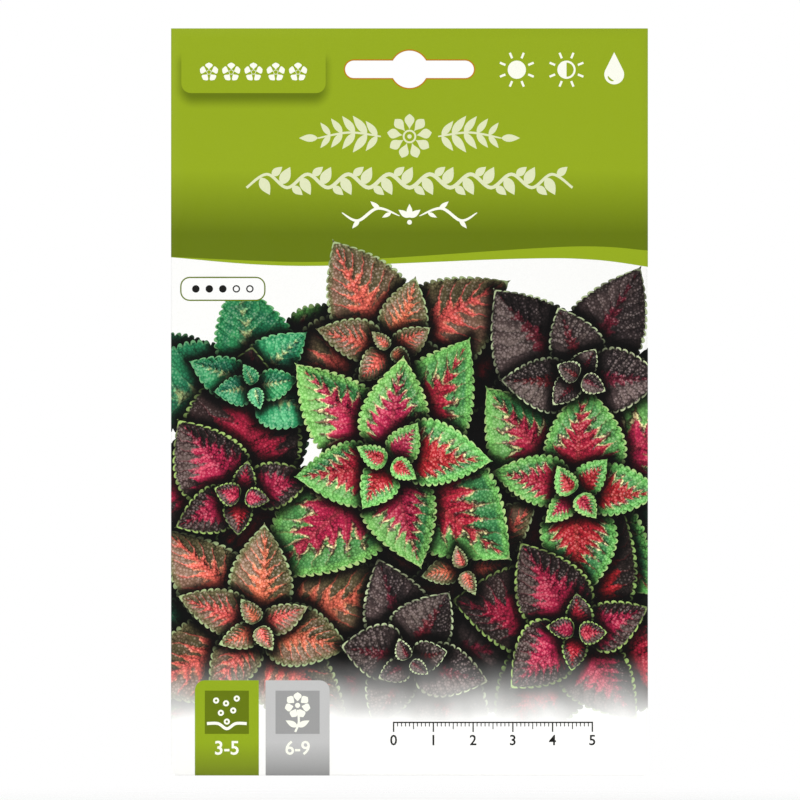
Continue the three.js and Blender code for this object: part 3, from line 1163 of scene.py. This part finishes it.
def front_inks():
    """Every ink on the front sheet by name. The last is the bare paper of its inside and its cut edges."""
    inks = {name: Recipe(name).paper_finish(colour) for name, colour in FLAT_INKS.items()}
    inks["header_green"] = header_ink()
    inks["tab_green"] = tab_ink("tab_green", srgb(146, 170, 28), srgb(114, 130, 30))
    inks["tab_grey"] = tab_ink("tab_grey", srgb(195, 195, 195), srgb(146, 146, 146))
    inks["understory"] = understory_ink()
    inks.update({kind: leaf_ink(kind, *looks) for kind, looks in LEAF_KINDS.items()})
    inks["bare_paper"] = bare_paper("bare_paper", srgb(236, 234, 226), srgb(250, 249, 244))
    return inks


def bare_paper(name, ground, fibre):
    """Uncoated paper: light fibres, more along the sheet than across it, in a slightly warm cloudy ground."""
    recipe = Recipe(name)
    place = recipe.place()
    x, y, z = recipe.split(place)
    fibres = recipe.noise(recipe.join(x * 1.6, y, z * 0.5), 2.0, 5, 0.65)
    cloud = recipe.noise(place, 0.12, 3)
    colour = recipe.mix((fibres + cloud * 0.4).ramp(0.45, 0.95), ground, fibre)
    return recipe.paper_finish(colour, 0.7, 0.4)


# ---- back sheet, sachet and seed


def slice_sheet(bm, place, across):
    """Cuts a flat sheet along one line, and keeps both sides."""
    bmesh.ops.bisect_plane(bm, geom=bm.verts[:] + bm.edges[:] + bm.faces[:], plane_co=place, plane_no=across)


def back_sheet():
    """The plain back panel, held under the flaps: cut flat with its slot, then swelled with the pouch."""
    edge, low = FOLD_X - GLUE, FOLD_Z + GLUE
    bm = bmesh.new()
    for outline in (rounded_box(-edge, edge, low, TOP), slot_outline()):
        ring = [bm.verts.new((x, 0, z)) for x, z in outline]
        for a, b in zip(ring, ring[1:] + ring[:1]):
            bm.edges.new((a, b))
    bmesh.ops.triangle_fill(bm, use_beauty=True, edges=bm.edges[:], normal=(0, 1, 0))
    for x in np.arange(-57, 57.1, 3):
        slice_sheet(bm, (x, 0, 0), (1, 0, 0))
    for z in np.arange(low + 2.5, TOP, 3):
        slice_sheet(bm, (0, 0, z), (0, 0, 1))
    bmesh.ops.dissolve_degenerate(bm, dist=0.02, edges=bm.edges[:])
    bm.normal_update()
    if bm.faces[:][0].normal.y < 0:
        bmesh.ops.reverse_faces(bm, faces=bm.faces[:])
    cut = np.array([(v.co.x, v.co.z) for v in bm.verts])
    for v in bm.verts:
        v.co.y = GLUE / 2 + PAPER + SWELL_BACK * pillow(v.co.x, v.co.z)
    bmesh.ops.scale(bm, vec=(MM, MM, MM), verts=bm.verts[:])
    mesh = bpy.data.meshes.new("back_sheet_paper")
    bm.to_mesh(mesh)
    bm.free()
    for name in ("back_paper", "back_paper_inside"):
        mesh.materials.append(bare_paper(name, srgb(239, 237, 228), srgb(249, 248, 242)))
    return finish_sheet("back_sheet_paper", mesh, cut, "back_sheet")


def glassine():
    """The sachet's thin hard paper: faintly yellow and cloudy, with long fibres and a low sheen."""
    recipe = Recipe("glassine")
    place = recipe.place()
    x, y, z = recipe.split(place)
    fibres = recipe.noise(recipe.join(x * 0.5, y, z * 2.6), 1.5, 4, 0.6)
    cloud = recipe.noise(place, 0.16, 3)
    colour = recipe.mix(cloud.ramp(0.3, 0.7), srgb(231, 226, 204), srgb(243, 240, 226))
    colour = recipe.mix(fibres.ramp(0.55, 0.75, 0.0, 0.5), colour, srgb(250, 248, 238))
    return recipe.paper_finish(colour, 0.34, 0.25)


def seed_coat():
    """Fine round seed: brown grains of several shades, each domed, with painted shade in the gaps between
    them.
    """
    recipe = Recipe("seed_coat")
    place = recipe.place()
    grain = recipe.cells(place, 1.15)
    shade = recipe.noise(place, 0.9, 1)
    colour = recipe.mix(shade.ramp(0.35, 0.65), srgb(66, 40, 24), srgb(128, 88, 54))
    # Painted shade: the cell borders, where the grains of the heap meet, are darkened almost to black.
    colour = recipe.mix(grain.ramp(0.38, 0.62), colour, srgb(26, 16, 10))
    recipe.feed(recipe.shader.inputs["Base Color"], colour)
    recipe.feed(recipe.shader.inputs["Roughness"], grain.ramp(0.1, 0.6, 0.38, 0.8))
    recipe.bump(grain.ramp(0.0, 0.65, 1.0, 0.0), 0.6, 0.3)
    return recipe.material


def fill_pouch():
    """Finishes the sachet and the seed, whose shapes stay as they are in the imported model."""
    webs = glassine()
    for node, finish in (("sachet_front", webs), ("sachet_back", webs), ("seeds", seed_coat())):
        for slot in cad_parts[node].material_slots:
            slot.material = finish


# ---- stage

SENSOR = 36
CAMERA_DISTANCE = 2.0
VIEW_SPAN, VIEW_SIDE, VIEW_RISE = 201.3, -2.39, 0.5
MIDDLE_Z = (TOP + BOTTOM) / 2 * MM
FLOOR_DROP = 0.016
FLOOR_RADIUS = 0.30


def camera():
    """A long lens straight in front of the packet's face."""
    data = bpy.data.cameras.new("camera")
    data.sensor_width = SENSOR
    data.lens = SENSOR * CAMERA_DISTANCE / (VIEW_SPAN * MM)
    data.clip_end = 50
    eye = add_object("camera", data)
    eye.location = (VIEW_SIDE * MM, -CAMERA_DISTANCE, MIDDLE_Z + VIEW_RISE * MM)
    eye.rotation_euler = (math.pi / 2, 0, 0)
    bpy.context.scene.camera = eye


def softbox(name, place, size, watts):
    """A square light that faces the middle of the packet."""
    data = bpy.data.lights.new(name, "AREA")
    data.shape = "SQUARE"
    data.size = size
    data.energy = watts
    light = add_object(name, data)
    light.location = place
    aim = Vector((0, 0, MIDDLE_Z)) - Vector(place)
    light.rotation_euler = aim.to_track_quat("-Z", "Y").to_euler()


def studio():
    """A pale floor that fades into a white surround, a large key light and two soft fills."""
    world = bpy.data.worlds.new("studio")
    bpy.context.scene.world = world
    world.use_nodes = True
    nodes, links = world.node_tree.nodes, world.node_tree.links
    seen = nodes.new("ShaderNodeLightPath").outputs["Is Camera Ray"]
    strength = nodes.new("ShaderNodeMapRange")
    strength.inputs["To Min"].default_value = 0.51
    links.new(seen, strength.inputs["Value"])
    links.new(strength.outputs[0], nodes["Background"].inputs["Strength"])
    nodes["Background"].inputs["Color"].default_value = (1, 1, 1, 1)
    softbox("key", (-0.9, -1.2, 0.7), 0.8, 14)
    softbox("fill", (1.1, -1.0, 0.1), 0.9, 4.1)
    softbox("back_key", (1.5, 0.75, 0.7), 0.7, 21)
    bpy.context.scene.view_settings.view_transform = "Standard"

    bm = bmesh.new()
    bmesh.ops.create_circle(bm, cap_ends=True, segments=96, radius=FLOOR_RADIUS)
    bmesh.ops.translate(bm, verts=bm.verts, vec=(0, 0, BOTTOM * MM - FLOOR_DROP))
    mesh = bpy.data.meshes.new("floor")
    bm.to_mesh(mesh)
    bm.free()
    recipe = Recipe("floor")
    x, y, _ = recipe.split(recipe.place())
    reach = recipe.math("SQRT", x**2.0 + y**2.0)
    recipe.feed(recipe.shader.inputs["Alpha"], reach.ramp(120, FLOOR_RADIUS / MM - 5, 1.0, 0.0))
    recipe.shader.inputs["Base Color"].default_value = (0.93, 0.93, 0.92, 1)
    recipe.shader.inputs["Roughness"].default_value = 0.9
    mesh.materials.append(recipe.material)
    floor = add_object("floor", mesh)
    floor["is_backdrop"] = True


camera()
studio()
printed_front_sheet(front_inks())
back_sheet()
fill_pouch()

box = lambda corners: [list(corner) for corner in corners]
{"cad": box(CAD_BOX), "visual": box(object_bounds())}
